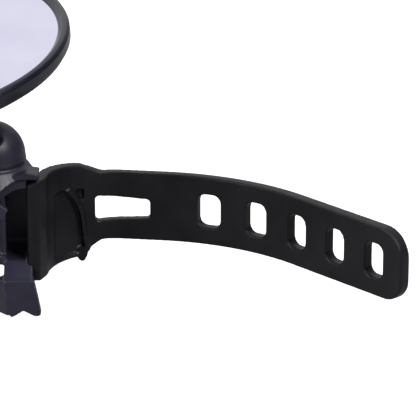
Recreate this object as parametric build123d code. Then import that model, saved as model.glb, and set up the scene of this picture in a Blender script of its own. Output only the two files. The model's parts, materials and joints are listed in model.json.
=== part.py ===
from build123d import *
import math
import os

# A bike mirror that straps to a handlebar 15 to 30 mm thick. Millimetres.
# +Z is the bar's axis, +X runs along the strap's tail, and the rider looks along +Y.
# The origin is on the bar's axis, half way up the strap.

# ---- driving dimensions ----
# strap and cradle pad
bar_radius = 15.0            # the thickest bar: the cradle's inside
cradle_near_deg = 189.5      # where the bore ends, at the pad's near lip
cradle_far_deg = 82.5        # where the strap leaves the bar
strap_thickness = 2.4
tail_thickness = 2.8         # the strap thickens along its bend
strap_width = 16.5
pad_height = 24.0
pad_centre_z = 0.2
pad_far_drop = 1.5           # the pad's top edge falls this much towards the strap
lip_reach = bar_radius + 4.25   # the near lip thickens outwards to this far from the bar's axis
lip_front_y = -3.0
lip_back_y = 4.2
bar_gap = 0.3                # the bracket stands this clear of the thickest bar
pad_shoulder_from_x = -8.4   # the pad narrows to the strap between these two
pad_shoulder_to_x = -3.0
neck_length = 9.0            # straight run after the cradle
strap_bend_radius = 50.0
strap_bend_deg = 39.5
tail_length = 33.8
tail_top_corner = 6.5
tail_bottom_corner = 5.0
hole_count = 5
hole_pitch = 12.1
hole_width = 5.6
hole_height = 8.0
hole_corner_radius = 1.9
first_hole_at = 20.4         # along the strap, from the cradle's end
slot_start_x = -4.5          # the trapezoid slot
slot_end_x = 8.3
slot_start_height = 6.2
slot_end_height = 4.6
slot_centre_z = -0.6
slot_corner_radius = 0.8
fin_width = 2.7              # the fin below the pad, at the cradle's far side
fin_reach = 0.9
# bracket
dome_radius = 7.8
bracket_x = -bar_radius - 12.5   # the dome's axis
dome_centre = (bracket_x, 5.0, 16.1)
socket_shift = (-1.5, 0.0, 1.0)   # from the dome's centre to the ball's centre
shoulder_radius = 11.2       # the bell under the dome
shoulder_top_radius = 8.3
shoulder_top_drop = 2.0      # from the dome's centre down to the bell's start
shoulder_drop = 6.3          # and down to its full width
shoulder_rim = 2.2
bracket_back_y = 0.9 * bar_radius
bracket_front_y = -2.0
bracket_left_x = bracket_x - 5.9
back_wall = 2.5
saddle_front_y = 3.0         # the saddle is the block behind the pad
saddle_right_x = bracket_x + 15.5
saddle_drop = 1.8            # its top is this much lower than the post's
window_x = bracket_x + 8.65           # the window's centre
window_z = 2.0
window_radius = 10.4
brow_thickness = 1.4         # the brow fills the bell out to the window's edge
brow_from_deg = 78.0
brow_to_deg = 150.0
brow_depth = 6.0
brow_lead = 0.5              # it stands this much in front of the keeper
tunnel_left_x = bracket_x + 3.25
tunnel_right_x = bracket_x + 7.9
tunnel_top_z = 10.3
tunnel_bottom_z = -7.1
exit_from_y = 5.6            # the side exit for the strap's tail
post_bottom_z = -8.2
leg_width = 6.6
leg_thickness = 2.3
foot_left_x = bracket_x + 3.35
foot_front_y = -6.5
foot_thickness = 2.8
foot_top_z = -10.6
foot_bottom_z = -19.4
wing_length = 4.0            # the foot's side wing, swept back by its turn
wing_turn_deg = 48.0
# keeper in the window
keeper_thickness = 2.1
keeper_depth = 5.0
keeper_from_deg = 88.0
keeper_to_deg = 214.0
tooth_reach = 3.0
tooth_height = 4.2
tooth_depth = 1.6
# ball joints
ball_radius = 3.3
ball_clearance = 0.05
cup_radius = ball_radius + 1.2
cup_bore_clearance = 0.06
cup_back = ball_radius + 1.1   # from the ball's centre to the cup's floor
cup_front = ball_radius - 0.3
stem_radius = 1.9
stem_slot_clearance = 0.2
core_radius = 1.2
seat_clearance = 0.02        # between pieces that are pressed or moulded together
retainer_thickness = 0.8
retainer_outer = cup_radius + 1.4
retainer_inner = cup_radius - 0.2
retainer_gap = 0.1
arm_upright = 8.0            # from the upper ball down to the arm's corner
arm_bend_radius = 5.0
# tension screw in the dome
screw_direction = (0.14, -0.67, 0.73)   # where its hole lies on the dome, from the dome's centre
screw_radius = 1.5
screw_hole_radius = 1.56
screw_mouth_radius = 2.1     # its hole opens out at the dome
screw_mouth_depth = 0.7
screw_length = 1.5
screw_sink = 0.4
screw_key = 1.5              # across the flats of its socket
screw_key_depth = 0.9
slug_radius = 1.2
slug_gap = 0.06
# mirror head
mirror_centre = (bracket_x - 24.8, 4.9, 42.7)
mirror_normal = (-0.082, -0.145, 0.986)
glass_radius = 41.3
glass_thickness = 2.0
glass_curve_radius = 900.0
bezel_outer_radius = glass_radius + 1.9
bezel_lip = 0.8              # how far the lip covers the glass
bezel_depth = 2.2
bezel_proud = 0.3            # lip above the glass at its edge
foam_radius = glass_radius - 3.3
foam_bottom = -3.5
plate_thickness = 1.2
plate_radius = glass_radius - 1.3
shell_wall = 1.6
bowl_radius = 30.0           # the back shell's bowl: where it steepens
bowl_z = -8.0
bowl_floor_radius = 12.0     # and where it meets the boss
bowl_floor_z = -10.8
ball_drop = 11.5             # from the glass to the upper ball's centre
boss_radius = 8.8
boss_floor = 1.35
washer_thickness = 0.45
cap_thickness = 1.2
cap_screw_count = 3
cap_screw_circle = 6.9
cap_screw_radius = 0.7
cap_screw_head = 1.2
cap_screw_head_height = 0.6
cap_screw_length = 4.5
rib_count = 6
shell_rib_width = 1.4
# pad fixing
insert_from_deg = 128.0
insert_to_deg = 152.0
insert_thickness = 0.9
insert_depth = 0.7           # rubber over the insert on its outer side
insert_height = 17.0
fixing_deg = 140.0
fixing_z = (-5.5, 6.0)
fixing_radius = 1.0
fixing_head_radius = 1.9
fixing_head_height = 1.1
fixing_depth = 1.0           # how far its screws reach into the pad
fixing_boss_radius = 3.0

# ---- directions that follow from them ----
dome_point = Vector(*dome_centre)
socket_point = dome_point + Vector(*socket_shift)
normal = Vector(*mirror_normal).normalized()
glass_point = Vector(*mirror_centre)
upper_ball_point = glass_point - normal * ball_drop
arm_corner = upper_ball_point - normal * arm_upright
socket_axis = (arm_corner - socket_point).normalized()
lower_tilt_axis = socket_axis.cross(Vector(0, 0, 1)).normalized()
upper_tilt_axis = (Vector(0, 1, 0) - normal * normal.Y).normalized()
screw_mouth = dome_point + Vector(*screw_direction).normalized() * dome_radius
screw_axis = (screw_mouth - socket_point).normalized()
screw_reach = (screw_mouth - socket_point).length
lower_joint = Plane(origin=socket_point, x_dir=lower_tilt_axis, z_dir=socket_axis)
upper_joint = Plane(origin=upper_ball_point, x_dir=upper_tilt_axis, z_dir=normal * -1)
mirror_plane = Plane(origin=glass_point, x_dir=upper_tilt_axis, z_dir=normal)
screw_plane = Plane(origin=socket_point, z_dir=screw_axis)
pad_outer_radius = bar_radius + strap_thickness
cup_bore_radius = cup_radius + cup_bore_clearance
socket_face = cup_front + retainer_gap + retainer_thickness


def save(shape, node):
    """Writes one node's solids to its own file."""
    export_step(shape, f"parts/{node}.step")


def tube(radius, low, high):
    """A cylinder on the Z axis, between two heights."""
    return Pos(0, 0, low) * Cylinder(radius, high - low, align=(Align.CENTER, Align.CENTER, Align.MIN))


def block(low, high):
    """A box between two corners."""
    size = [high[i] - low[i] for i in range(3)]
    middle = [(high[i] + low[i]) / 2 for i in range(3)]
    return Pos(*middle) * Box(*size)


def turned(points):
    """A solid turned round the Z axis from (radius, height) points."""
    return revolve(Plane.XZ * make_face(Polyline(*points, close=True)), axis=Axis.Z)


def slab_xz(points, low_y, high_y):
    """A plate with an outline of (x, z) points, from one y to another."""
    face = Plane.XZ * make_face(Polyline(*points, close=True))
    return Pos(0, high_y, 0) * extrude(face, amount=high_y - low_y, dir=(0, -1, 0))


def slab_yz(points, low_x, high_x):
    """A plate with an outline of (y, z) points, from one x to another."""
    face = Plane.YZ * make_face(Polyline(*points, close=True))
    return Pos(low_x, 0, 0) * extrude(face, amount=high_x - low_x, dir=(1, 0, 0))


def on_circle(radius, degrees, centre=(0.0, 0.0)):
    """A point on a circle."""
    angle = math.radians(degrees)
    return (centre[0] + radius * math.cos(angle), centre[1] + radius * math.sin(angle))


def disc_y(radius, low_y, high_y):
    """A cylinder along Y about the window's centre."""
    return Pos(window_x, (low_y + high_y) / 2, window_z) * Rot(90, 0, 0) * Cylinder(radius, high_y - low_y)


def sector(inner, outer, from_deg, to_deg, height):
    """A curved wall about the Z axis, centred on z = 0."""
    middle_deg = (from_deg + to_deg) / 2
    outline = [
        ThreePointArc(on_circle(inner, from_deg), on_circle(inner, middle_deg), on_circle(inner, to_deg)),
        Line(on_circle(inner, to_deg), on_circle(outer, to_deg)),
        ThreePointArc(on_circle(outer, to_deg), on_circle(outer, middle_deg), on_circle(outer, from_deg)),
        Line(on_circle(outer, from_deg), on_circle(inner, from_deg)),
    ]
    return extrude(make_face(outline), amount=height / 2, both=True)


# ---- strap ----
leave_deg = cradle_far_deg - 90.0
cradle_end = on_circle(bar_radius, cradle_far_deg)


def strap_place(distance):
    """The strap's bar-side point and heading, a distance past the cradle's end."""
    heading = math.radians(leave_deg)
    x, y = cradle_end
    straight = min(distance, neck_length)
    x += straight * math.cos(heading)
    y += straight * math.sin(heading)
    left = max(distance - neck_length, 0.0)
    bend_length = strap_bend_radius * math.radians(strap_bend_deg)
    turn = min(left, bend_length) / strap_bend_radius
    centre_x = x + strap_bend_radius * math.sin(heading)
    centre_y = y - strap_bend_radius * math.cos(heading)
    heading -= turn
    x = centre_x - strap_bend_radius * math.sin(heading)
    y = centre_y + strap_bend_radius * math.cos(heading)
    tail = max(left - bend_length, 0.0)
    return x + tail * math.cos(heading), y + tail * math.sin(heading), math.degrees(heading)


def strap_frame(distance):
    """A plane on the strap's bar side: X along the strap, Y up, Z towards the bar."""
    x, y, heading = strap_place(distance)
    along = Vector(math.cos(math.radians(heading)), math.sin(math.radians(heading)), 0)
    return Plane(origin=(x, y, 0), x_dir=along, z_dir=along.cross(Vector(0, 0, 1)))


def make_strap():
    """Cradle pad, bead, neck, bend and tail in one rubber moulding."""
    pad = sector(bar_radius, pad_outer_radius, cradle_far_deg, cradle_near_deg, pad_height)
    pad = Pos(0, 0, pad_centre_z) * pad
    half = strap_width / 2
    top = pad_centre_z + pad_height / 2
    bottom = pad_centre_z - pad_height / 2
    far_x = cradle_end[0] + 1.0
    shoulders = [
        [
            (-lip_reach, top),
            (pad_shoulder_from_x, top - pad_far_drop),
            (pad_shoulder_to_x, half),
            (far_x, half),
            (far_x, top + 1),
            (-lip_reach, top + 1),
        ],
        [
            (pad_shoulder_from_x, bottom - 1),
            (pad_shoulder_from_x, bottom),
            (pad_shoulder_to_x, -half),
            (far_x, -half),
            (far_x, bottom - 1),
        ],
    ]
    for outline in shoulders:
        pad -= slab_xz(outline, 0, pad_outer_radius + 1)
    strap = pad + make_lip() + make_tail() + make_fin()
    slot = [
        (slot_start_x, slot_centre_z - slot_start_height / 2),
        (slot_end_x, slot_centre_z - slot_end_height / 2),
        (slot_end_x, slot_centre_z + slot_end_height / 2),
        (slot_start_x, slot_centre_z + slot_start_height / 2),
    ]
    slot_cut = slab_xz(slot, bar_radius - strap_thickness, pad_outer_radius + 1)
    strap -= fillet(slot_cut.edges().filter_by(Axis.Y), slot_corner_radius)
    for index in range(hole_count):
        outline = RectangleRounded(hole_width, hole_height, hole_corner_radius)
        hole = extrude(outline, amount=2 * tail_thickness, both=True)
        strap -= strap_frame(first_hole_at + index * hole_pitch) * hole
    return strap


def make_tail():
    """Neck, bend and tail: a side profile as wide as the strap, with the tail's end rounded."""
    bend_at = neck_length + strap_bend_radius * math.radians(strap_bend_deg)
    frames = [strap_frame(distance) for distance in (0, neck_length, bend_at, bend_at + tail_length)]
    bend_middle = strap_frame((neck_length + bend_at) / 2)
    middle_thickness = (strap_thickness + tail_thickness) / 2
    depths = [strap_thickness, strap_thickness, tail_thickness, tail_thickness]
    inner = [frame.origin for frame in frames]
    outer = [(frame * Pos(0, 0, -depth)).position for frame, depth in zip(frames, depths)]
    outer_middle = (bend_middle * Pos(0, 0, -middle_thickness)).position
    outline = [
        Line(inner[0], inner[1]),
        ThreePointArc(inner[1], bend_middle.origin, inner[2]),
        Line(inner[2], inner[3]),
        Line(inner[3], outer[3]),
        Line(outer[3], outer[2]),
        ThreePointArc(outer[2], outer_middle, outer[1]),
        Line(outer[1], outer[0]),
        Line(outer[0], inner[0]),
    ]
    tail = extrude(Plane.XY * make_face(outline), amount=strap_width / 2, both=True)
    for side, radius in ((1, tail_top_corner), (-1, tail_bottom_corner)):
        corner = (frames[3] * Pos(0, side * strap_width / 2, -tail_thickness / 2)).position
        tail = fillet(tail.edges().sort_by_distance(corner)[0:1], radius)
    return tail


def make_lip(grow=0.0):
    """The pad's thick near edge; grown, it is the room that the bracket leaves for it."""
    bore_x, bore_y = on_circle(bar_radius, cradle_near_deg)
    outline = [
        (bore_x, bore_y),
        (bore_x - 1.4, lip_front_y - grow),
        (-lip_reach + 0.4, lip_front_y + 0.2 - grow),
        (-lip_reach - grow, lip_front_y + 0.8),
        (-lip_reach - grow, lip_back_y - 1.6),
        (-lip_reach + 0.6 - grow, lip_back_y - 0.8 + grow),
        (-pad_outer_radius + 0.5, lip_back_y + grow),
        (-pad_outer_radius + 1.2, 0),
    ]
    lip = extrude(Plane.XY * make_face(Polyline(*outline, close=True)), amount=pad_height / 2 + grow, both=True)
    return Pos(0, 0, pad_centre_z) * lip


def pad_room():
    """The space that the bracket and keeper leave for the pad and for the thickest bar."""
    room = Cylinder(pad_outer_radius + seat_clearance, pad_height + 2 * seat_clearance)
    room = Pos(0, 0, pad_centre_z) * room
    return room + make_lip(seat_clearance) + Cylinder(bar_radius + bar_gap, 80)


def make_fin():
    """The small fin below the pad, at the cradle's far side."""
    bottom = pad_centre_z - pad_height / 2
    left = pad_shoulder_from_x - 0.7
    right = left + fin_width
    outline = [
        (left, bottom + 1.5),
        (left + 0.8, bottom - fin_reach + 0.4),
        (left + 1.6, bottom - fin_reach),
        (right - 0.3, bottom - fin_reach + 0.5),
        (right, bottom + 1.5),
        (right - 0.6, bottom + 3.0),
    ]
    fin = slab_xz(outline, 0, pad_outer_radius)
    ring = Cylinder(pad_outer_radius, pad_height + 4) - Cylinder(bar_radius, pad_height + 5)
    ring = Pos(0, 0, pad_centre_z) * ring
    return fin & ring


def make_pad_insert():
    """The steel strip inside the back of the pad."""
    outer = pad_outer_radius - insert_depth
    strip = sector(outer - insert_thickness, outer, insert_from_deg, insert_to_deg, insert_height)
    return Pos(0, 0, pad_centre_z) * strip


fixing_distance = bracket_back_y / math.sin(math.radians(fixing_deg))
fixing_length = fixing_distance - pad_outer_radius + fixing_depth


def fixing_frame(height):
    """A plane on the back wall's outer side, Z pointing away from the bar."""
    x, y = on_circle(fixing_distance, fixing_deg)
    return Plane(origin=(x, y, height), z_dir=(x, y, 0))


def make_pad_screw(grow=0.0):
    """One screw from the back wall into the pad's insert."""
    shank = tube(fixing_radius + grow, -fixing_length, 0)
    head = tube(fixing_head_radius + grow, -fixing_head_height, 2.5 if grow else 0)
    return shank + head


# ---- ball joints ----
def make_cup():
    """A slotted cup on the Z axis, with its ball's centre at the origin."""
    cup = tube(cup_radius, -cup_back, cup_front)
    cup -= Sphere(ball_radius + ball_clearance)
    slot_half = stem_radius + stem_slot_clearance
    cup -= block((-slot_half, -2 * cup_radius, 0), (slot_half, 2 * cup_radius, 2 * cup_front))
    return cup


def make_ball():
    """A ball with a blind hole for the arm's core, open towards +Z."""
    ball = Sphere(ball_radius)
    return ball - tube(core_radius + seat_clearance, -ball_radius / 2, 2 * ball_radius)


def arm_line(start_trim, end_trim):
    """The arm's centre line: along the socket's axis, a bend, and up to the mirror."""
    start = socket_point + socket_axis * start_trim
    end = upper_ball_point - normal * end_trim
    return FilletPolyline(start, arm_corner, end, radius=arm_bend_radius)


def swept(radius, start_trim, end_trim):
    """A round bar along the arm's line."""
    line = arm_line(start_trim, end_trim)
    profile = Plane(origin=line @ 0, z_dir=line % 0) * Circle(radius)
    return sweep(profile, path=line)


# ---- bracket ----
def make_bracket():
    """Dome, shoulder, window frame, back wall, leg and foot."""
    shoulder = turned(
        [
            (0, -shoulder_drop - shoulder_rim),
            (shoulder_radius - 1.2, -shoulder_drop - shoulder_rim),
            (shoulder_radius, -shoulder_drop),
            (shoulder_top_radius, -shoulder_top_drop),
            (dome_radius, 0),
            (0, 0),
        ]
    )
    body = Pos(*dome_centre) * (shoulder + Sphere(dome_radius))
    top_z = dome_centre[2] - shoulder_drop - 0.5
    post = block((bracket_left_x, bracket_front_y, post_bottom_z), (tunnel_left_x, bracket_back_y, top_z))
    back_low = (bracket_left_x, bracket_back_y - back_wall, post_bottom_z)
    back = block(back_low, (tunnel_right_x, bracket_back_y, top_z))
    saddle_bottom = (tunnel_right_x, saddle_front_y, tunnel_bottom_z)
    saddle = block(saddle_bottom, (saddle_right_x, bracket_back_y, top_z - saddle_drop))
    body += fillet(post.edges().filter_by(Axis.Z).group_by(Axis.X)[0], 2.5) + back + saddle
    brow = sector(window_radius, window_radius + brow_thickness, brow_from_deg, brow_to_deg, brow_depth)
    body += Pos(window_x, bracket_front_y - brow_lead + brow_depth / 2, window_z) * Rot(90, 0, 0) * brow
    for height in fixing_z:
        body += fixing_frame(height) * tube(fixing_boss_radius, -fixing_length, 0)
    body -= disc_y(window_radius, -20, bracket_front_y + keeper_depth)
    body += make_leg()
    tunnel_back_y = bracket_back_y - back_wall
    body -= block((tunnel_left_x, -20, tunnel_bottom_z), (tunnel_right_x, tunnel_back_y, tunnel_top_z))
    body -= block(
        (bracket_left_x - 1, exit_from_y, tunnel_bottom_z),
        (tunnel_right_x, tunnel_back_y, tunnel_top_z - 1.0),
    )
    cheek_left = window_x - window_radius
    cheek_low = (cheek_left, bracket_front_y + tooth_depth, tunnel_bottom_z)
    cheek = block(cheek_low, (tunnel_left_x, exit_from_y, tunnel_top_z))
    body += cheek - keeper_ring(seat_clearance)
    body -= pad_room()
    socket = tube(cup_bore_radius, -cup_back - 0.1, 20)
    socket += tube(retainer_outer + seat_clearance, cup_front + retainer_gap, 20)
    socket += tube(20, socket_face, 20)
    body -= lower_joint * socket
    body -= screw_plane * tube(screw_hole_radius, cup_radius / 2, 20)
    mouth_low = screw_reach - screw_mouth_depth
    mouth = [(0, mouth_low), (screw_hole_radius, mouth_low), (screw_mouth_radius, screw_reach), (0, 20)]
    body -= screw_plane * turned(mouth)
    for height in fixing_z:
        body -= fixing_frame(height) * make_pad_screw(seat_clearance)
    return body


def make_leg():
    """The sloped leg under the window and its notched, fishtail foot."""
    front = foot_front_y
    rear = foot_front_y + foot_thickness
    side = [
        (bracket_back_y, tunnel_bottom_z - leg_thickness),
        (bracket_back_y, tunnel_bottom_z + 1.0),
        (bracket_front_y, tunnel_bottom_z + 1.0),
        (bracket_front_y, tunnel_bottom_z),
        (front, foot_top_z),
        (front, foot_top_z - 2.0),
        (rear, foot_top_z - 2.0),
        (bracket_front_y + 2.0, tunnel_bottom_z - leg_thickness),
    ]
    leg_left = tunnel_left_x - 0.4
    leg = slab_yz(side, leg_left, leg_left + leg_width)
    outline = [
        (foot_left_x, foot_top_z + 0.2),
        (foot_left_x + 0.3, foot_bottom_z + 1.9),
        (foot_left_x + 1.1, foot_bottom_z),
        (foot_left_x + 2.2, foot_bottom_z + 0.6),
        (foot_left_x + 3.9, foot_bottom_z + 1.7),
        (foot_left_x + 5.0, foot_bottom_z + 1.1),
        (foot_left_x + 6.3, foot_bottom_z + 0.4),
        (foot_left_x + 7.2, foot_bottom_z + 0.3),
        (foot_left_x + 7.9, foot_bottom_z + 0.7),
        (foot_left_x + 7.3, foot_bottom_z + 4.1),
        (foot_left_x + 6.3, foot_top_z + 0.2),
    ]
    foot = slab_xz(outline, front, rear)
    wing = block((-wing_length, 0, foot_bottom_z + 0.6), (0.4, foot_thickness, foot_top_z))
    wing = Pos(foot_left_x, front, 0) * Rot(0, 0, -wing_turn_deg) * wing
    return leg + foot + wing


def keeper_ring(grow=0.0):
    """The keeper's arch, seated in the window; grown, it is the room that the cheek leaves for it."""
    inner = window_radius - keeper_thickness - grow
    outer = window_radius - seat_clearance + grow
    depth = keeper_depth + 2 * grow
    margin_deg = math.degrees(grow / inner)
    arch = sector(inner, outer, keeper_from_deg - margin_deg, keeper_to_deg + margin_deg, depth)
    return Pos(window_x, bracket_front_y + keeper_depth / 2, window_z) * Rot(90, 0, 0) * arch


def make_keeper():
    """The arched band in the window, with its catch tooth."""
    root_x = window_x - window_radius + keeper_thickness
    tooth = slab_xz(
        [
            (root_x - 0.8, window_z + 4.6),
            (root_x + 1.6, window_z + 4.4),
            (root_x + tooth_reach + 0.6, window_z + 3.0),
            (root_x + tooth_reach - 0.6, window_z + 0.6),
            (root_x - 0.8, window_z + 4.6 - tooth_height),
        ],
        bracket_front_y,
        bracket_front_y + tooth_depth - seat_clearance,
    )
    keeper = keeper_ring() + (tooth & disc_y(window_radius - seat_clearance, -20, 20))
    return keeper - pad_room()


# ---- mirror head ----
def arc_height(radius, depth):
    """Height of the bent glass at a radius, a depth below its middle."""
    return math.sqrt(glass_curve_radius**2 - radius**2) - glass_curve_radius - depth


def dished(outer, depth_top, bottom):
    """A disc with the glass's curve on top, and a flat or curved underside."""
    top_edge = (outer, arc_height(outer, depth_top))
    top_arc = ThreePointArc((0, -depth_top), (outer / 2, arc_height(outer / 2, depth_top)), top_edge)
    if bottom is None:
        low = depth_top + glass_thickness
        low_edge = (outer, arc_height(outer, low))
        low_line = ThreePointArc(low_edge, (outer / 2, arc_height(outer / 2, low)), (0, -low))
    else:
        low_edge = (outer, bottom)
        low_line = Line(low_edge, (0, bottom))
    edges = [top_arc, Line(top_edge, low_edge), low_line, Line(low_line @ 1, (0, -depth_top))]
    return revolve(Plane.XZ * make_face(edges), axis=Axis.Z)


def make_bezel():
    """The rounded rim: a lip over the glass and a skirt down to the shell."""
    edge_z = arc_height(glass_radius, 0)
    lip_z = edge_z + bezel_proud
    profile = [
        (glass_radius - bezel_lip, arc_height(glass_radius - bezel_lip, 0) + seat_clearance),
        (glass_radius - bezel_lip + 0.5, lip_z + 0.7),
        (glass_radius + 0.9, lip_z + 1.1),
        (bezel_outer_radius - 0.5, lip_z + 0.6),
        (bezel_outer_radius, lip_z - 0.6),
        (bezel_outer_radius, edge_z - bezel_depth + 0.6),
        (bezel_outer_radius - 0.4, edge_z - bezel_depth),
        (glass_radius + 0.2, edge_z - bezel_depth),
        (glass_radius + 0.2, edge_z + seat_clearance),
    ]
    return turned(profile)


def make_shell():
    """The back shell, its ribs and the boss that holds the upper cup."""
    edge_z = arc_height(glass_radius, 0)
    rim_z = edge_z - bezel_depth - seat_clearance
    plate_bottom = foam_bottom - plate_thickness
    bowl_edge = [(bezel_outer_radius - 0.4, rim_z), (bezel_outer_radius - 2.0, rim_z - 1.6)]
    bowl_low = [(bowl_radius, bowl_z), (bowl_floor_radius, bowl_floor_z)]
    boss_end = -(ball_drop + cup_front + retainer_gap)
    boss = [(boss_radius, bowl_floor_z - 0.4), (boss_radius, boss_end), (0, boss_end)]
    inner = [(radius, height + shell_wall) for radius, height in [(0, bowl_floor_z)] + bowl_low[::-1]]
    profile = [(plate_radius + 0.1, rim_z)] + bowl_edge + bowl_low + boss
    profile += inner + [(plate_radius - 1.0, plate_bottom), (plate_radius + 0.1, plate_bottom)]
    shell = turned(profile)
    bowl_middle = [(0, plate_bottom), (0, bowl_floor_z - 0.2)]
    bowl = turned(bowl_middle + bowl_low[::-1] + [(plate_radius - 1.0, plate_bottom)])
    for index in range(rib_count):
        rib = block((0, -shell_rib_width / 2, -12.0), (plate_radius, shell_rib_width / 2, plate_bottom))
        shell += (Rot(0, 0, index * 360 / rib_count) * rib) & bowl
    floor_z = -(ball_drop - cup_back) + washer_thickness + 0.1
    shell += tube(boss_radius, -11.0, floor_z + boss_floor)
    shell -= tube(cup_bore_radius, boss_end - 1, floor_z)
    for index in range(cap_screw_count):
        place = Rot(0, 0, index * 360 / cap_screw_count) * Pos(cap_screw_circle, 0, 0)
        screw_top = boss_end + cap_screw_length - cap_thickness
        shell -= place * tube(cap_screw_radius + seat_clearance, boss_end - 1, screw_top)
    return shell


def make_cap():
    """The ring that keeps the upper cup in its boss."""
    top = -(ball_drop + cup_front + retainer_gap)
    cap = tube(boss_radius, top - cap_thickness, top) - tube(retainer_inner, top - 5, top + 5)
    for index in range(cap_screw_count):
        cap -= cap_screw_place(index) * make_cap_screw(seat_clearance)
    return cap


def cap_screw_place(index):
    """Where a cap screw's head seats."""
    top = -(ball_drop + cup_front + retainer_gap)
    return Rot(0, 0, index * 360 / cap_screw_count) * Pos(cap_screw_circle, 0, top - cap_thickness)


def make_cap_screw(grow=0.0):
    """One cap screw, its head at the origin and its shank up along Z."""
    shank = tube(cap_screw_radius + grow, 0, cap_screw_length - 0.1 + grow)
    return shank + tube(cap_screw_head + grow, -grow, cap_screw_head_height)


def make_tension_screw():
    """A grub screw with a hex socket, its outer end at the origin."""
    screw = tube(screw_radius, -screw_length, 0)
    key = extrude(RegularPolygon(screw_key / math.sqrt(3), 6), amount=screw_key_depth, dir=(0, 0, -1))
    return screw - key


os.makedirs("parts", exist_ok=True)

strap = make_strap()
pad_insert = make_pad_insert()
strap -= Pos(0, 0, pad_centre_z) * sector(
    pad_outer_radius - insert_depth - insert_thickness - seat_clearance,
    pad_outer_radius - insert_depth + seat_clearance,
    insert_from_deg - 0.1,
    insert_to_deg + 0.1,
    insert_height + 2 * seat_clearance,
)
pad_screws = []
for height in fixing_z:
    strap -= fixing_frame(height) * make_pad_screw(seat_clearance)
    pad_insert -= fixing_frame(height) * make_pad_screw(seat_clearance)
    pad_screws.append(fixing_frame(height) * make_pad_screw())
save(strap, "strap")
save(pad_insert, "pad_insert")
save(Compound(children=pad_screws), "pad_screws")

save(make_bracket(), "bracket_body")
save(make_keeper(), "strap_keeper")

save(lower_joint * make_cup(), "lower_cup")
retainer = tube(retainer_outer, cup_front + retainer_gap, socket_face) - tube(retainer_inner, 0, 20)
save(lower_joint * retainer, "cup_retainer")
screw_lean = abs(screw_axis.dot(socket_axis))
slug_low = (cup_radius + slug_radius * screw_lean) / math.sqrt(1 - screw_lean**2) + slug_gap
slug_high = screw_reach - screw_sink - screw_length - slug_gap
save(screw_plane * tube(slug_radius, slug_low, slug_high), "pressure_slug")
save(screw_plane * Pos(0, 0, screw_reach - screw_sink) * make_tension_screw(), "tension_screw")

save(lower_joint * make_ball(), "lower_ball")
save(upper_joint * make_ball(), "upper_ball")
save(swept(core_radius, -ball_radius / 2 + 0.1, -ball_radius / 2 + 0.1), "arm_core")
sleeve_gap = ball_radius + seat_clearance
sleeve = swept(stem_radius, sleeve_gap - 0.6, sleeve_gap - 0.6) - swept(core_radius + seat_clearance, 0, 0)
sleeve -= lower_joint * Sphere(ball_radius + seat_clearance)
sleeve -= upper_joint * Sphere(ball_radius + seat_clearance)
save(sleeve, "arm_sleeve")

save(upper_joint * make_cup(), "upper_cup")
washer = tube(cup_radius - 0.4, 0, washer_thickness) - tube(cup_radius - 2.2, -1, 2)
save(mirror_plane * Pos(0, 0, -(ball_drop - cup_back) + 0.05) * washer, "wave_washer")
save(mirror_plane * dished(glass_radius, 0, None), "mirror_glass")
foam = dished(foam_radius, glass_thickness + seat_clearance, foam_bottom + seat_clearance)
save(mirror_plane * foam, "foam_pad")
plate = tube(plate_radius, foam_bottom - plate_thickness + seat_clearance, foam_bottom)
save(mirror_plane * plate, "backing_plate")
save(mirror_plane * make_bezel(), "bezel_ring")
save(mirror_plane * make_shell(), "rear_shell")
save(mirror_plane * make_cap(), "socket_cap")
screws = [mirror_plane * cap_screw_place(index) * make_cap_screw() for index in range(cap_screw_count)]
save(Compound(children=screws), "cap_screws")
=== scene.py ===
import json
import math

import bmesh
import bpy
from mathutils import Matrix, Vector


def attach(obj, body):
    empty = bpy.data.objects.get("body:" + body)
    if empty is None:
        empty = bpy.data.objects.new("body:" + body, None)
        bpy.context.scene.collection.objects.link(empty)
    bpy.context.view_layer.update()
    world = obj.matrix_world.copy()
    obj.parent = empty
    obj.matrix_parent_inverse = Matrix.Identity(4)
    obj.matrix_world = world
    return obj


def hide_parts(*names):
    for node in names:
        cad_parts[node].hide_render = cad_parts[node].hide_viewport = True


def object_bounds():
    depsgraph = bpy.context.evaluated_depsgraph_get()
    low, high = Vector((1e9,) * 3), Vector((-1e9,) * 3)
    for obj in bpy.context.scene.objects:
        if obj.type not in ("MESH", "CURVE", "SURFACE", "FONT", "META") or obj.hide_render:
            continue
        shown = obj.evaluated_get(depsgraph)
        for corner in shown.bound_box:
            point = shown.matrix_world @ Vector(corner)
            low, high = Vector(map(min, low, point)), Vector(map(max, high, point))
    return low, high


# A bike mirror on a ball-jointed arm, with its bracket and handlebar strap. Meshes are in metres.
# The sizes below are millimetres, turned to metres by MM where a mesh is made.
# +Z is the handlebar's axis and +X runs along the strap's tail.
MM = 0.001

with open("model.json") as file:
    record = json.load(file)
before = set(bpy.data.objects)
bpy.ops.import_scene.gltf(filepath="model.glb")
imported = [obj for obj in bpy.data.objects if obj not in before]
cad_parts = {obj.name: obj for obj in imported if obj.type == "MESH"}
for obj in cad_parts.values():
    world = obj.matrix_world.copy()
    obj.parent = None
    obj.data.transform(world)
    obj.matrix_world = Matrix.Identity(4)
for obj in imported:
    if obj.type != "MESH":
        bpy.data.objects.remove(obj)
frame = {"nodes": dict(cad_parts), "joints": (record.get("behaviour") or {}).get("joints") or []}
cad_low, cad_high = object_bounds()
joints = {joint["name"]: joint for joint in frame["joints"]}

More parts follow.
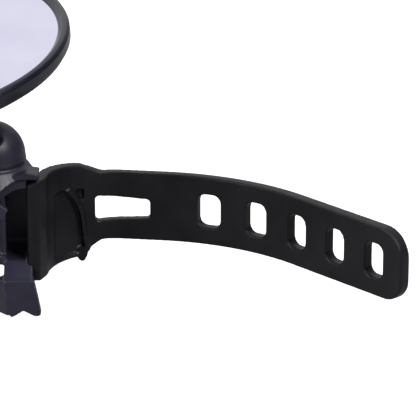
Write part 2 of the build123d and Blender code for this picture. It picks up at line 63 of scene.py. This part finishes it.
# ---- strap ----
BAR_RADIUS = 15.0
BORE_NEAR_DEG = 168.0        # from here the bore flares into the near lip
BORE_FAR_DEG = 82.5          # the strap leaves the bar
NECK_THICKNESS = 2.4
TAIL_THICKNESS = 2.8
STRAP_WIDTH = 16.5
NECK_LENGTH = 9.0
BEND_RADIUS = 50.0
BEND_DEG = 39.5
BEND_LENGTH = BEND_RADIUS * math.radians(BEND_DEG)
TAIL_LENGTH = 33.8
STRAP_LENGTH = NECK_LENGTH + BEND_LENGTH + TAIL_LENGTH
TAIL_TOP_CORNER = 6.5
TAIL_BOTTOM_CORNER = 5.0
PAD_TOP = 12.2
PAD_FAR_TOP = 10.7
PAD_BOTTOM = -11.8
LIP_REACH = 19.25            # the near lip's outer face, from the bar's axis
SHOULDER_FROM = -8.4         # the pad narrows between these two
SHOULDER_TO = -3.0
HOLE_COUNT = 5
HOLE_PITCH = 12.1
FIRST_HOLE = 20.4            # from the cradle's end, along the strap
HOLE_WIDTH = 5.6
HOLE_HEIGHT = 8.0
HOLE_CORNER = 1.9
SLOT_X = (-4.5, 8.3)
SLOT_HEIGHTS = (6.2, 4.6)
SLOT_CENTRE_Z = -0.6
SLOT_CORNER = 0.8
RUBBER_VOXEL = 0.24          # the finest detail that each moulding keeps
RUBBER_PASSES = 11           # and how far its corners are eased
# ---- bracket ----
DOME_CENTRE = (-27.5, 5.0, 16.1)
CREASE_RADIUS = 8.25         # the groove under the dome
CREASE_DROP = 1.5
CREASE_WIDTH = 0.55
BRACKET_VOXEL = 0.24
BRACKET_PASSES = 6
KEEPER_VOXEL = 0.15
KEEPER_PASSES = 5
WELD_DISTANCE = 0.005        # corners closer than this are the same corner
# ---- mirror head, from the glass's middle ----
BALL_DROP = 11.5
GLASS_RADIUS = 41.0
GLASS_CURVE = 900.0
GLASS_THICKNESS = 2.0
BOSS_PAST_BALL = 3.1
BOSS_BORE_RADIUS = 4.56


# ---- shaping ----
def on_circle(radius, degrees, centre=(0.0, 0.0)):
    angle = math.radians(degrees)
    return (centre[0] + radius * math.cos(angle), centre[1] + radius * math.sin(angle))


def arc(radius, from_deg, to_deg, count, centre=(0.0, 0.0)):
    """Points along a stretch of a circle."""
    step = (to_deg - from_deg) / count
    return [on_circle(radius, from_deg + step * i, centre) for i in range(count + 1)]


def rounded(corners, closed=True, count=6):
    """An outline through (x, y, radius) corners, each rounded by its radius."""
    points = []
    last = len(corners) - 1
    for i, (x, y, radius) in enumerate(corners):
        here = Vector((x, y))
        if radius == 0 or (not closed and i in (0, last)):
            points.append((x, y))
            continue
        before = (Vector(corners[i - 1][:2]) - here).normalized()
        after = (Vector(corners[(i + 1) % len(corners)][:2]) - here).normalized()
        half = before.angle(after) / 2
        trim = radius / math.tan(half)
        centre = here + (before + after).normalized() * (radius / math.sin(half))
        start = here + before * trim - centre
        turn = start.angle_signed(here + after * trim - centre)
        for k in range(count + 1):
            spoke = start.copy()
            spoke.rotate(Matrix.Rotation(-turn * k / count, 2))
            points.append(tuple(centre + spoke))
    return points


def finish_mesh(name, work):
    """Turns a bmesh in millimetres into an object in metres."""
    bmesh.ops.recalc_face_normals(work, faces=work.faces)
    bmesh.ops.scale(work, vec=(MM, MM, MM), verts=work.verts)
    mesh = bpy.data.meshes.new(name)
    work.to_mesh(mesh)
    work.free()
    piece = bpy.data.objects.new(name, mesh)
    bpy.context.scene.collection.objects.link(piece)
    return piece


def prism(name, outline, low, high, place):
    """An outline of flat points, pushed from one depth to another and put in place."""
    work = bmesh.new()
    face = work.faces.new([work.verts.new((x, y, low)) for x, y in outline])
    pushed = bmesh.ops.extrude_face_region(work, geom=[face])["geom"]
    moved = [part for part in pushed if isinstance(part, bmesh.types.BMVert)]
    bmesh.ops.translate(work, vec=(0, 0, high - low), verts=moved)
    bmesh.ops.transform(work, matrix=place, verts=work.verts)
    return finish_mesh(name, work)


def lathe(name, profile, place, steps=180):
    """A closed (radius, height) outline turned round the place's Z axis."""
    work = bmesh.new()
    rings = []
    for i in range(steps):
        angle = 2 * math.pi * i / steps
        spoke = (math.cos(angle), math.sin(angle))
        rings.append([work.verts.new((r * spoke[0], r * spoke[1], h)) for r, h in profile])
    for i, ring in enumerate(rings):
        after = rings[(i + 1) % steps]
        for k in range(len(profile)):
            m = (k + 1) % len(profile)
            work.faces.new((ring[k], ring[m], after[m], after[k]))
    bmesh.ops.remove_doubles(work, verts=work.verts, dist=0.0005)
    bmesh.ops.transform(work, matrix=place, verts=work.verts)
    return finish_mesh(name, work)


def combine(piece, tools, operation):
    """Cuts the tools from a piece, or joins them to it, and clears them away."""
    for tool in tools:
        step = piece.modifiers.new("shape", "BOOLEAN")
        step.operation = operation
        step.solver = "EXACT"
        step.object = tool
    settle(piece)
    for tool in tools:
        bpy.data.objects.remove(tool)


def settle(piece):
    """Makes a piece's modifiers part of its own mesh."""
    seen = piece.evaluated_get(bpy.context.evaluated_depsgraph_get())
    mesh = bpy.data.meshes.new_from_object(seen)
    piece.modifiers.clear()
    piece.data = mesh


def soften(piece, voxel, passes):
    """Rounds a moulding's edges as its mould does: an even skin, then eased corners."""
    skin = piece.modifiers.new("even skin", "REMESH")
    skin.mode = "VOXEL"
    skin.voxel_size = voxel * MM
    skin.use_smooth_shade = True
    ease = piece.modifiers.new("eased corners", "SMOOTH")
    ease.factor = 0.5
    ease.iterations = passes


def weld(piece):
    """Joins a CAD piece's faces along their shared edges."""
    joined = piece.modifiers.new("weld", "WELD")
    joined.merge_threshold = WELD_DISTANCE * MM


def smooth(piece):
    for face in piece.data.polygons:
        face.use_smooth = True


# ---- colours and materials ----
PLASTIC_IOR = 1.53


def linear(code, alpha=1.0):
    """An sRGB hex colour as Blender's linear one."""
    values = [int(code[i:i + 2], 16) / 255 for i in (1, 3, 5)]
    return tuple(v / 12.92 if v < 0.04045 else ((v + 0.055) / 1.055) ** 2.4 for v in values) + (alpha,)


def add(tree, kind, settings=None, **inputs):
    """One node with its settings; an input is a number, a colour or another node's socket."""
    node = tree.nodes.new(kind)
    for key, value in (settings or {}).items():
        setattr(node, key, value)
    for key, value in inputs.items():
        name = key.replace("_", " ")
        socket = node.inputs[int(key[1:])] if key[0] == "i" and key[1:].isdigit() else node.inputs[name]
        if isinstance(value, bpy.types.NodeSocket):
            tree.links.new(value, socket)
        else:
            socket.default_value = value
    return node


def ramp(tree, factor, stops):
    """A colour ramp from (place, colour) stops."""
    node = add(tree, "ShaderNodeValToRGB", i0=factor)
    while len(node.color_ramp.elements) < len(stops):
        node.color_ramp.elements.new(0.5)
    for element, (place, colour) in zip(node.color_ramp.elements, stops):
        element.position = place
        element.color = colour
    return node.outputs["Color"]


def grey(value):
    return (value, value, value, 1.0)


def blank(name):
    """A new material and its shader."""
    material = bpy.data.materials.new(name)
    material.use_nodes = True
    return material, material.node_tree, material.node_tree.nodes["Principled BSDF"]


def moulded(name, colour, worn, roughness, grain, relief, sheen):
    """A moulded plastic or rubber: mottled colour, uneven gloss, fine grain and rubbed edges.
    The grain is its spots' size in millimetres and the relief is their height; sheen is how
    strongly its skin mirrors, where 0.5 is a clean polished skin."""
    cloud = 9.0
    scuff = 2.2
    material, tree, shader = blank(name)
    shader.inputs["IOR"].default_value = PLASTIC_IOR
    shader.inputs["Specular IOR Level"].default_value = sheen
    place = add(tree, "ShaderNodeTexCoord").outputs["Object"]
    spots = add(tree, "ShaderNodeTexNoise", Vector=place, Scale=1 / (grain * MM), Detail=4.0)
    clouds = add(tree, "ShaderNodeTexNoise", Vector=place, Scale=1 / (cloud * MM), Detail=3.0)
    scuffs = add(
        tree, "ShaderNodeTexNoise", Vector=place, Scale=1 / (scuff * MM), Detail=6.0, Roughness=0.7
    )
    edges = add(tree, "ShaderNodeNewGeometry").outputs["Pointiness"]
    rubbed = ramp(tree, edges, [(0.52, grey(0.0)), (0.60, grey(1.0))])
    patchy = add(tree, "ShaderNodeMath", {"operation": "MULTIPLY"}, i0=rubbed, i1=scuffs.outputs["Fac"])
    shade = ramp(tree, clouds.outputs["Fac"], [(0.3, linear(colour)), (0.75, linear(worn))])
    base = add(
        tree, "ShaderNodeMix", {"data_type": "RGBA"},
        i0=patchy.outputs["Value"], i6=shade, i7=linear(worn),
    )
    tree.links.new(base.outputs[2], shader.inputs["Base Color"])
    uneven = [(0.3, grey(roughness - 0.06)), (0.7, grey(roughness + 0.07))]
    gloss = ramp(tree, scuffs.outputs["Fac"], uneven)
    tree.links.new(gloss, shader.inputs["Roughness"])
    bump = add(
        tree, "ShaderNodeBump", Height=spots.outputs["Fac"], Distance=relief * MM, Strength=0.6
    )
    tree.links.new(bump.outputs["Normal"], shader.inputs["Normal"])
    return material


def metal(name, colour, dull, roughness, stretch, line):
    """A metal with fine lines from its making, so many millimetres wide and drawn out by stretch."""
    material, tree, shader = blank(name)
    shader.inputs["Metallic"].default_value = 1.0
    place = add(tree, "ShaderNodeTexCoord").outputs["Object"]
    drawn = add(tree, "ShaderNodeMapping", Vector=place, Scale=(1.0, 1.0, 1.0 / stretch))
    lines = add(
        tree, "ShaderNodeTexNoise", Vector=drawn.outputs["Vector"], Scale=1 / (line * MM), Detail=5.0
    )
    tarnish = add(tree, "ShaderNodeTexNoise", Vector=place, Scale=1 / (2.5 * MM), Detail=4.0)
    base = ramp(tree, tarnish.outputs["Fac"], [(0.35, linear(dull)), (0.65, linear(colour))])
    tree.links.new(base, shader.inputs["Base Color"])
    gloss = ramp(tree, lines.outputs["Fac"], [(0.3, grey(roughness)), (0.7, grey(roughness + 0.18))])
    tree.links.new(gloss, shader.inputs["Roughness"])
    bump = add(tree, "ShaderNodeBump", Height=lines.outputs["Fac"], Distance=0.02 * MM, Strength=0.5)
    tree.links.new(bump.outputs["Normal"], shader.inputs["Normal"])
    return material


def silvered_glass():
    """Convex glass silvered at its back: a clean pale reflection with a faint lavender cast."""
    material, tree, shader = blank("silvered_glass")
    shader.inputs["Metallic"].default_value = 1.0
    shader.inputs["Roughness"].default_value = 0.03
    place = add(tree, "ShaderNodeTexCoord").outputs["Object"]
    haze = add(tree, "ShaderNodeTexNoise", Vector=place, Scale=1 / (14.0 * MM), Detail=3.0)
    base = ramp(tree, haze.outputs["Fac"], [(0.3, linear("#d4d2e9")), (0.7, linear("#dcdbee"))])
    tree.links.new(base, shader.inputs["Base Color"])
    return material


def foam():
    """Closed-cell adhesive foam: dark, soft and pitted all over."""
    material, tree, shader = blank("adhesive_foam")
    place = add(tree, "ShaderNodeTexCoord").outputs["Object"]
    cells = add(tree, "ShaderNodeTexVoronoi", Vector=place, Scale=1 / (0.5 * MM))
    base = ramp(tree, cells.outputs["Distance"], [(0.1, linear("#1a1a1c")), (0.6, linear("#38383c"))])
    tree.links.new(base, shader.inputs["Base Color"])
    shader.inputs["Roughness"].default_value = 0.95
    bump = add(tree, "ShaderNodeBump", Height=cells.outputs["Distance"], Distance=0.2 * MM)
    tree.links.new(bump.outputs["Normal"], shader.inputs["Normal"])
    return material


# Strap rubber: satin black, a little grey where it has been handled.
strap_rubber = moulded("moulded_rubber", "#0b0a0e", "#16151a", 0.42, 0.35, 0.012, 0.17)
# Bracket ABS: blue-black with a satin mould skin that catches soft light on its upper faces.
bracket_abs = moulded("satin_moulded_ABS", "#1a1824", "#262534", 0.40, 0.30, 0.010, 0.26)
# Rim ABS: the same plastic from a polished mould, so its edge draws a thin bright line.
rim_abs = moulded("polished_ABS", "#0f1019", "#191b28", 0.22, 0.60, 0.002, 0.30)
# Black nylon: a touch greyer and drier than the ABS beside it.
black_nylon = moulded("black_nylon", "#171719", "#262629", 0.48, 0.40, 0.02, 0.4)
# Natural nylon: milky cream where the slotted cups show.
natural_nylon = moulded("natural_nylon", "#cfcabd", "#dedacf", 0.45, 0.40, 0.015, 0.5)
# Inner plastic: dull recycled black, seldom seen.
inner_plastic = moulded("recycled_black_plastic", "#202022", "#2e2e32", 0.62, 0.50, 0.03, 0.4)
# Spring steel: cool grey, with long fine drawing lines down its length.
spring_steel = metal("spring_steel", "#a8aaad", "#77797c", 0.28, 6.0, 0.15)
# Zinc plate: pale blue-grey with a soft, slightly cloudy shine.
zinc_steel = metal("zinc_plated_steel", "#c3c6ca", "#8f9297", 0.30, 1.0, 0.35)
# Black oxide: charcoal steel that still glints at its edges.
oxide_steel = metal("black_oxide_steel", "#4a4a4c", "#2c2c2e", 0.38, 1.0, 0.25)
# Turned brass: warm yellow with fine lathe lines.
turned_brass = metal("turned_brass", "#c9a55a", "#94743a", 0.27, 4.0, 0.2)
# Silvered glass: the one bright surface, a clean reflection that is barely lavender.
mirror_silver = silvered_glass()
# Adhesive foam: matt and pitted, so it swallows light behind the glass.
backing_foam = foam()


def paint(piece, material):
    piece.data.materials.clear()
    piece.data.materials.append(material)


# ---- strap ----
def strap_place(distance):
    """The strap's bar-side point and heading, a distance past the cradle's end."""
    heading = math.radians(BORE_FAR_DEG - 90.0)
    x, y = on_circle(BAR_RADIUS, BORE_FAR_DEG)
    straight = min(distance, NECK_LENGTH)
    x += straight * math.cos(heading)
    y += straight * math.sin(heading)
    left = max(distance - NECK_LENGTH, 0.0)
    turn = min(left, BEND_LENGTH) / BEND_RADIUS
    middle_x = x + BEND_RADIUS * math.sin(heading)
    middle_y = y - BEND_RADIUS * math.cos(heading)
    heading -= turn
    x = middle_x - BEND_RADIUS * math.sin(heading)
    y = middle_y + BEND_RADIUS * math.cos(heading)
    tail = max(left - BEND_LENGTH, 0.0)
    return x + tail * math.cos(heading), y + tail * math.sin(heading), heading


def strap_thickness_at(distance):
    """The strap thickens along its bend."""
    share = min(max((distance - NECK_LENGTH) / BEND_LENGTH, 0.0), 1.0)
    return NECK_THICKNESS + (TAIL_THICKNESS - NECK_THICKNESS) * share


def strap_matrix(distance):
    """Where a flat tool goes: its X along the strap, its Y up, its Z into the bar side."""
    x, y, heading = strap_place(distance)
    along = Vector((math.cos(heading), math.sin(heading), 0))
    up = Vector((0, 0, 1))
    turn = Matrix((along, up, along.cross(up))).transposed().to_4x4()
    return Matrix.Translation((x, y, 0)) @ turn


def front_matrix():
    """Where an (x, z) outline goes: its depth runs along +Y."""
    return Matrix(((1, 0, 0, 0), (0, 0, 1, 0), (0, 1, 0, 0), (0, 0, 0, 1)))


def side_profile():
    """The whole strap seen from above: lip, cradle, neck, bend and tail."""
    inner = arc(BAR_RADIUS, BORE_NEAR_DEG, BORE_FAR_DEG, 40)
    outer = arc(BAR_RADIUS + NECK_THICKNESS, 166.0, BORE_FAR_DEG, 36)
    steps = 60
    for i in range(1, steps + 1):
        distance = STRAP_LENGTH * i / steps
        x, y, heading = strap_place(distance)
        thick = strap_thickness_at(distance)
        inner.append((x, y))
        outer.append((x - math.sin(heading) * thick, y + math.cos(heading) * thick))
    lip = rounded(
        [
            (outer[0][0], outer[0][1], 0),
            (-LIP_REACH + 0.5, 3.5, 0.6),
            (-LIP_REACH, 2.6, 0.5),
            (-LIP_REACH, -2.7, 0.9),
            (-16.5, -3.0, 0.7),
            (-15.0, 0.6, 5.0),
            (inner[0][0], inner[0][1], 0),
        ],
        closed=False,
    )
    return inner + outer[::-1] + lip[1:-1]


def envelope():
    """The strap's height seen from the front: a tall pad that narrows at its shoulders."""
    half = STRAP_WIDTH / 2
    far = 90.0                   # well past the tail's end
    return rounded(
        [
            (-LIP_REACH - 0.5, PAD_BOTTOM, 0),
            (SHOULDER_FROM, PAD_BOTTOM, 1.5),
            (SHOULDER_TO, -half, 2.5),
            (far, -half, 0),
            (far, half, 0),
            (SHOULDER_TO, half, 2.5),
            (SHOULDER_FROM, PAD_FAR_TOP, 1.2),
            (-16.8, PAD_TOP, 1.2),
            (-LIP_REACH - 0.5, PAD_TOP - 1.4, 0),
        ]
    )


def tail_corner(side, radius):
    """What is cut away to round one of the tail's end corners."""
    edge = side * STRAP_WIDTH / 2
    bow = arc(radius, 0, 90, 10)
    outline = [(x - radius, edge + side * (y - radius)) for x, y in bow]
    outline += [(-radius - 0.1, edge + side), (1.0, edge + side), (1.0, edge - side * radius)]
    return prism("corner", outline, -6.0, 6.0, strap_matrix(STRAP_LENGTH))


def strap_holes():
    """The five buckle holes and the neck's tapered slot."""
    tools = []
    across = HOLE_WIDTH / 2
    rise = HOLE_HEIGHT / 2
    corners = [(-across, -rise), (across, -rise), (across, rise), (-across, rise)]
    hole = rounded([(x, y, HOLE_CORNER) for x, y in corners])
    for i in range(HOLE_COUNT):
        tools.append(prism("hole", hole, -6.0, 4.0, strap_matrix(FIRST_HOLE + i * HOLE_PITCH)))
    start = SLOT_HEIGHTS[0] / 2
    end = SLOT_HEIGHTS[1] / 2
    slot = rounded(
        [
            (SLOT_X[0], SLOT_CENTRE_Z - start, SLOT_CORNER),
            (SLOT_X[1], SLOT_CENTRE_Z - end, SLOT_CORNER),
            (SLOT_X[1], SLOT_CENTRE_Z + end, SLOT_CORNER),
            (SLOT_X[0], SLOT_CENTRE_Z + start, SLOT_CORNER),
        ]
    )
    tools.append(prism("slot", slot, 11.0, 20.0, front_matrix()))
    return tools


def pad_fin():
    """The small fin below the pad."""
    outline = [(-9.6, -10.0), (-8.6, -12.3), (-8.0, -13.0), (-7.1, -13.0), (-6.3, -11.6), (-6.2, -9.0)]
    return prism("fin", outline, 12.8, 15.2, front_matrix())


# Where the pad's bore runs out into the neck, from the pocket down to the fin.
RIDGE_LINE = [(-10.9, 5.4), (-9.2, 2.6), (-8.0, -0.6), (-7.6, -4.0), (-7.3, -7.5), (-6.6, -10.8)]


def pad_recess():
    """The bore's relief: it deepens towards the ridge and stops there as a step."""
    outline = RIDGE_LINE + [(-13.6, -10.8), (-13.6, 5.4)]
    recess = prism("recess", outline, 6.0, 16.0, front_matrix())
    relief = arc(BAR_RADIUS, 0, 360, 90, (-0.35, 0.75))[:-1]
    combine(recess, [prism("relief", relief, -14.0, 14.0, Matrix.Identity(4))], "INTERSECT")
    return recess


def lip_groove():
    """The groove between the near lip's flange and the pad's own rounded edge."""
    outline = [(-17.35, PAD_BOTTOM - 1), (-16.95, PAD_BOTTOM - 1), (-16.95, 9.0), (-17.35, 9.0)]
    return prism("groove", outline, -4.0, -2.2, front_matrix())


def pad_ridge():
    """The low ridge down the pad where its bore runs out into the neck."""
    outline = RIDGE_LINE + [(x + 1.0, z + 0.3) for x, z in reversed(RIDGE_LINE)]
    ridge = prism("ridge", outline, 8.0, 15.0, front_matrix())
    skin = arc(BAR_RADIUS - 0.5, 60, 150, 40) + arc(BAR_RADIUS + 1.0, 150, 60, 40)
    combine(ridge, [prism("skin", skin, -14.0, 14.0, Matrix.Identity(4))], "INTERSECT")
    return ridge


def pad_pocket():
    """The three-sided pocket at the top of the ridge."""
    outline = [(-9.0, 5.0), (-6.9, 4.6), (-7.4, 1.6)]
    return prism("pocket", outline, 11.0, 14.1, front_matrix())


def build_strap():
    """The rubber moulding: pad, neck and tail cut from one bent strip."""
    strap = prism("rubber_strap", side_profile(), -14.0, 14.0, Matrix.Identity(4))
    combine(strap, [prism("envelope", envelope(), -45.0, 20.0, front_matrix())], "INTERSECT")
    combine(strap, [pad_recess()], "DIFFERENCE")
    combine(strap, [pad_fin(), pad_ridge()], "UNION")
    corners = [tail_corner(1, TAIL_TOP_CORNER), tail_corner(-1, TAIL_BOTTOM_CORNER)]
    combine(strap, strap_holes() + [pad_pocket(), lip_groove()] + corners, "DIFFERENCE")
    soften(strap, RUBBER_VOXEL, RUBBER_PASSES)
    settle(strap)
    smooth(strap)
    paint(strap, strap_rubber)
    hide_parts("strap")
    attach(strap, "clip")


# ---- bracket ----
def build_bracket():
    """The bracket with the crease under its dome and a mould's eased edges."""
    bracket = frame["nodes"]["bracket_body"]
    weld(bracket)
    ring = arc(CREASE_WIDTH, 0, 330, 11, (CREASE_RADIUS, -CREASE_DROP))
    crease = lathe("crease", ring, Matrix.Translation(DOME_CENTRE), 90)
    crease.hide_render = True
    crease.hide_viewport = True
    cut = bracket.modifiers.new("crease", "BOOLEAN")
    cut.operation = "DIFFERENCE"
    cut.solver = "EXACT"
    cut.object = crease
    soften(bracket, BRACKET_VOXEL, BRACKET_PASSES)
    paint(bracket, bracket_abs)
    keeper = frame["nodes"]["strap_keeper"]
    weld(keeper)
    soften(keeper, KEEPER_VOXEL, KEEPER_PASSES)
    paint(keeper, bracket_abs)


# ---- mirror head ----
def mirror_matrix():
    """The glass's middle, with Z along its normal."""
    spin = joints["mirror_spin"]
    normal = Vector(spin["axis"]).normalized()
    side = Vector((0, 1, 0)).cross(normal).normalized()
    turn = Matrix((side, normal.cross(side), normal)).transposed().to_4x4()
    ball = Vector(spin["pos_m"]) / MM
    return Matrix.Translation(ball + normal * BALL_DROP) @ turn


def glass_height(radius):
    """The convex glass falls away from its middle."""
    return math.sqrt(GLASS_CURVE ** 2 - radius ** 2) - GLASS_CURVE


def build_glass(place):
    """The convex glass, an even disc that follows its own curve."""
    steps = 40
    radii = [GLASS_RADIUS * i / steps for i in range(steps + 1)]
    top = [(radius, glass_height(radius)) for radius in radii]
    low = [(r, h - GLASS_THICKNESS) for r, h in reversed(top)]
    glass = lathe("convex_glass", top + low, place, 240)
    smooth(glass)
    edge = glass.modifiers.new("crisp edge", "EDGE_SPLIT")
    edge.split_angle = math.radians(40)
    paint(glass, mirror_silver)
    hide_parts("mirror_glass")
    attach(glass, "mirror")


def build_rim(place):
    """The rim: an inner bevel down to the glass, a rounded crest and a straight skirt."""
    edge = glass_height(GLASS_RADIUS)
    profile = rounded(
        [
            (40.45, edge + 0.03, 0.05),
            (40.75, edge + 0.45, 0.2),
            (41.7, edge + 1.25, 0.5),
            (42.7, edge + 1.15, 0.6),
            (43.2, edge + 0.2, 0.7),
            (43.2, edge - 1.9, 0.4),
            (42.8, edge - 2.2, 0.15),
            (41.3, edge - 2.2, 0.1),
            (41.3, edge + 0.03, 0.02),
        ]
    )
    rim = lathe("rim", profile, place, 256)
    smooth(rim)
    paint(rim, rim_abs)
    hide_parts("bezel_ring")
    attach(rim, "mirror")


def build_shell(place):
    """The back shell: a shallow bowl with a parting step and the boss for the upper ball."""
    edge = glass_height(GLASS_RADIUS)
    boss_end = -(BALL_DROP + BOSS_PAST_BALL)
    profile = rounded(
        [
            (40.1, edge - 2.3, 0.1),
            (42.7, edge - 2.3, 0.15),
            (42.5, edge - 2.9, 0.2),
            (41.2, edge - 3.8, 1.0),
            (30.0, -8.0, 12.0),
            (12.0, -10.8, 2.5),
            (9.3, -11.3, 0.8),
            (8.8, boss_end, 0.3),
            (BOSS_BORE_RADIUS, boss_end, 0.1),
            (BOSS_BORE_RADIUS, -6.6, 0.1),
            (12.0, -8.9, 0.5),
            (30.0, -6.3, 4.0),
            (39.0, -4.7, 0.3),
            (40.1, -4.6, 0.2),
        ]
    )
    shell = lathe("back_shell", profile, place, 240)
    smooth(shell)
    paint(shell, bracket_abs)
    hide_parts("rear_shell")
    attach(shell, "mirror")


# ---- small hardware ----
def dress(node, material, edge):
    """A CAD piece as it is, with its sharp edges broken by a small bevel."""
    piece = frame["nodes"][node]
    weld(piece)
    bevel = piece.modifiers.new("broken edges", "BEVEL")
    bevel.width = edge * MM
    bevel.segments = 2
    bevel.limit_method = "ANGLE"
    bevel.angle_limit = math.radians(35)
    bevel.harden_normals = True
    smooth(piece)
    paint(piece, material)


def dress_hardware():
    """Each small part's material, and its broken edge in millimetres."""
    dress("socket_cap", black_nylon, 0.15)
    dress("cup_retainer", black_nylon, 0.15)
    dress("upper_ball", black_nylon, 0.05)
    dress("lower_ball", black_nylon, 0.05)
    dress("arm_sleeve", bracket_abs, 0.15)
    dress("arm_core", spring_steel, 0.05)
    dress("upper_cup", natural_nylon, 0.15)
    dress("lower_cup", natural_nylon, 0.15)
    dress("wave_washer", spring_steel, 0.05)
    dress("foam_pad", backing_foam, 0.1)
    dress("backing_plate", inner_plastic, 0.15)
    dress("cap_screws", zinc_steel, 0.08)
    dress("pad_screws", zinc_steel, 0.1)
    dress("pad_insert", zinc_steel, 0.08)
    dress("pressure_slug", turned_brass, 0.05)
    dress("tension_screw", oxide_steel, 0.06)


# ---- studio ----
def make_camera():
    """A long lens, a little above the strap and square to it."""
    target = Vector((21.75, 0.0, 4.9)) * MM
    distance = 650 * MM
    seen_width = 94.4 * MM        # how much of the target's plane fills the frame
    elevation = math.radians(20)
    data = bpy.data.cameras.new("camera")
    camera = bpy.data.objects.new("camera", data)
    bpy.context.scene.collection.objects.link(camera)
    back = Vector((0, -math.cos(elevation), math.sin(elevation)))
    camera.location = target + back * distance
    camera.rotation_euler = (-back).to_track_quat("-Z", "Y").to_euler()
    data.sensor_width = 36.0
    data.lens = data.sensor_width * distance / seen_width
    data.clip_start = 0.01
    bpy.context.scene.camera = camera


def make_light(name, place, size, power):
    """A square soft box that faces the bar's middle: place and size in metres, power in watts."""
    data = bpy.data.lights.new(name, "AREA")
    data.shape = "SQUARE"
    data.size = size
    data.energy = power
    light = bpy.data.objects.new(name, data)
    light.location = place
    light.rotation_euler = (-Vector(place)).to_track_quat("-Z", "Y").to_euler()
    bpy.context.scene.collection.objects.link(light)


def make_floor():
    """A sweep just below the foot. It is white to the eye, but grey as a reflector, so that
    it doesn't lift the dark plastics."""
    gap = 0.5
    thickness = 1.0
    reach = 3000.0
    top = cad_low.z / MM - gap
    outline = [(-reach, -reach), (reach, -reach), (reach, reach), (-reach, reach)]
    floor = prism("floor", outline, top - thickness, top, Matrix.Identity(4))
    material, tree, shader = blank("white_paper")
    shader.inputs["Base Color"].default_value = linear("#8c8c8c")
    shader.inputs["Roughness"].default_value = 0.9
    shader.inputs["Emission Color"].default_value = (1, 1, 1, 1)
    seen = add(tree, "ShaderNodeLightPath").outputs["Is Camera Ray"]
    glow = add(tree, "ShaderNodeMath", {"operation": "MULTIPLY_ADD"}, i0=seen, i1=0.9, i2=0.02)
    tree.links.new(glow.outputs["Value"], shader.inputs["Emission Strength"])
    paint(floor, material)


def make_world():
    """A bright ceiling behind the object's left and near darkness below and in front, so that
    dark plastic keeps its shape."""
    brightest_towards = (-0.45, 0.42, 0.79)
    world = bpy.data.worlds.new("studio")
    world.use_nodes = True
    tree = world.node_tree
    place = add(tree, "ShaderNodeTexCoord").outputs["Generated"]
    lean = add(
        tree, "ShaderNodeVectorMath", {"operation": "DOT_PRODUCT"}, i0=place, i1=brightest_towards
    )
    share = add(
        tree, "ShaderNodeMath", {"operation": "MULTIPLY_ADD"}, i0=lean.outputs["Value"], i1=0.5, i2=0.5
    )
    glow = ramp(
        tree, share.outputs["Value"],
        [(0.2, grey(0.01)), (0.45, grey(0.06)), (0.62, grey(0.25)), (0.9, grey(1.0))],
    )
    background = tree.nodes["Background"]
    tree.links.new(glow, background.inputs["Color"])
    background.inputs["Strength"].default_value = 1.0
    bpy.context.scene.world = world


build_strap()
build_bracket()
mirror_place = mirror_matrix()
build_glass(mirror_place)
build_rim(mirror_place)
build_shell(mirror_place)
dress_hardware()
make_floor()
make_camera()
make_light("side", (-0.75, -0.40, 0.35), 0.6, 7.0)
make_light("high right", (0.45, -0.40, 0.60), 0.4, 9.0)
make_world()
bpy.context.scene.view_settings.view_transform = "Standard"
